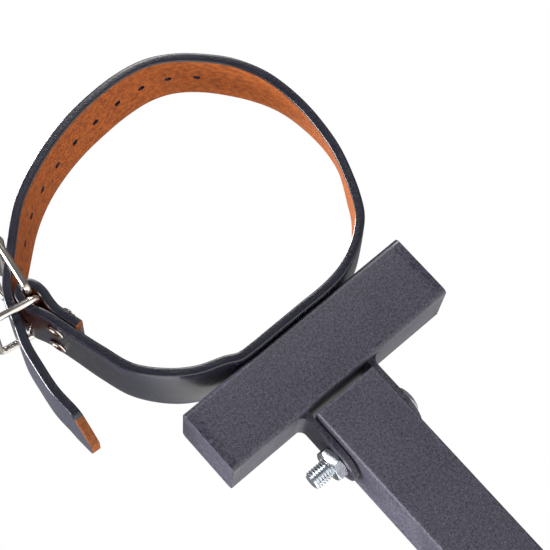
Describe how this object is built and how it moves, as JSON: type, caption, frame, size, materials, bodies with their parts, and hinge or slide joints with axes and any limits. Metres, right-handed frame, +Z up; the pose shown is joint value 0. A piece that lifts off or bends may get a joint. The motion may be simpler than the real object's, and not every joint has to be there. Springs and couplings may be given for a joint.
{
  "type": "tree climbing spur",
  "caption": "Climbing spur for one boot: stirrup with gaff, height-adjustable square shank, and a pivoting crossbar that carries a buckled leather calf strap.",
  "frame": {"origin": "centre of the stirrup tread's top face, between the arms", "axes": "+Z up along the shank towards the calf strap, +X along the foot towards the toe, +Y across the foot from the shank to the outer arm"},
  "size_m": [0.1664, 0.1599, 0.5767],
  "materials": {
    "powder_coat": "satin",
    "plug_black": "matte",
    "zinc": "satin",
    "nickel": "polished",
    "gaff_steel": "satin",
    "strap_leather": "satin"
  },
  "bodies": {
    "foot": {"lower_shank": "powder_coat", "lower_shank_plug": "plug_black", "stirrup": "powder_coat", "gaff": "gaff_steel", "gaff_bolt_low": "zinc", "gaff_washer_low": "zinc", "gaff_nut_low": "zinc", "gaff_bolt_high": "zinc", "gaff_washer_high": "zinc", "gaff_nut_high": "zinc", "foot_strap_long": "strap_leather", "foot_strap_short": "strap_leather", "foot_rivet_near": "nickel", "foot_burr_near": "nickel", "foot_rivet_far": "nickel", "foot_burr_far": "nickel", "arm_rivet_low": "nickel", "arm_rivet_high": "nickel", "tube_rivet_front": "nickel", "tube_rivet_rear": "nickel"},
    "shank": {"shank_tube": "powder_coat", "shank_plug": "plug_black", "clamp_bolt_low": "zinc", "clamp_washer_low_head": "zinc", "clamp_washer_low_nut": "zinc", "clamp_nut_low": "zinc", "clamp_bolt_high": "zinc", "clamp_washer_high_head": "zinc", "clamp_washer_high_nut": "zinc", "clamp_nut_high": "zinc", "pivot_bolt": "zinc", "pivot_nut": "zinc", "pivot_bush": "zinc"},
    "head": {"crossbar_tube": "powder_coat", "crossbar_cap_front": "plug_black", "crossbar_cap_rear": "plug_black", "pivot_ear_front": "powder_coat", "pivot_ear_rear": "powder_coat", "calf_strap": "strap_leather", "calf_rivet_near": "nickel", "calf_burr_near": "nickel", "calf_rivet_far": "nickel", "calf_burr_far": "nickel", "strap_screw_front": "zinc", "strap_screw_rear": "zinc"},
    "calf_buckle": {"calf_buckle_frame": "nickel"},
    "calf_prong": {"calf_buckle_prong": "nickel"},
    "calf_roller": {"calf_buckle_roller": "nickel"},
    "calf_keeper": {"calf_keeper_ring": "nickel"},
    "foot_buckle": {"foot_buckle_frame": "nickel"},
    "foot_prong": {"foot_buckle_prong": "nickel"},
    "foot_roller": {"foot_buckle_roller": "nickel"},
    "foot_keeper": {"foot_keeper_ring": "nickel"}
  },
  "joints": [
    {"name": "height_slide", "type": "slide", "parent": "foot", "child": "shank", "axis": [0, 0, 1], "range_m": [-0.025, 0.025]},
    {"name": "head_pivot", "type": "hinge", "parent": "shank", "child": "head", "pos_m": [0, -0.0678, 0.3616], "axis": [-1, 0, 0], "range_deg": [-15, 105]},
    {"name": "calf_buckle_swing", "type": "hinge", "parent": "head", "child": "calf_buckle", "pos_m": [-0.0682, -0.0678, 0.4886], "axis": [0, -1, 0], "range_deg": [-2, 2.5]},
    {"name": "calf_prong_swing", "type": "hinge", "parent": "calf_buckle", "child": "calf_prong", "pos_m": [-0.0682, -0.0678, 0.4886], "axis": [0, -1, 0], "range_deg": [0, 2.5]},
    {"name": "calf_roller_spin", "type": "hinge", "parent": "calf_buckle", "child": "calf_roller", "pos_m": [-0.06472, -0.0678, 0.51336], "axis": [0, -1, 0], "continuous": true},
    {"name": "calf_keeper_swing", "type": "hinge", "parent": "head", "child": "calf_keeper", "pos_m": [-0.06778, -0.0678, 0.48385], "axis": [0, -1, 0], "range_deg": [-30, 30]},
    {"name": "foot_buckle_swing", "type": "hinge", "parent": "foot", "child": "foot_buckle", "pos_m": [0, -0.018, 0.102], "axis": [1, 0, 0], "range_deg": [-2.5, 2.5]},
    {"name": "foot_prong_swing", "type": "hinge", "parent": "foot_buckle", "child": "foot_prong", "pos_m": [0, -0.018, 0.102], "axis": [1, 0, 0], "range_deg": [0, 2.5]},
    {"name": "foot_roller_spin", "type": "hinge", "parent": "foot_buckle", "child": "foot_roller", "pos_m": [0, 0.00645, 0.1072], "axis": [1, 0, 0], "continuous": true},
    {"name": "foot_keeper_swing", "type": "hinge", "parent": "foot", "child": "foot_keeper", "pos_m": [0, -0.02258, 0.10066], "axis": [1, 0, 0], "range_deg": [-25, 30]}
  ]
}
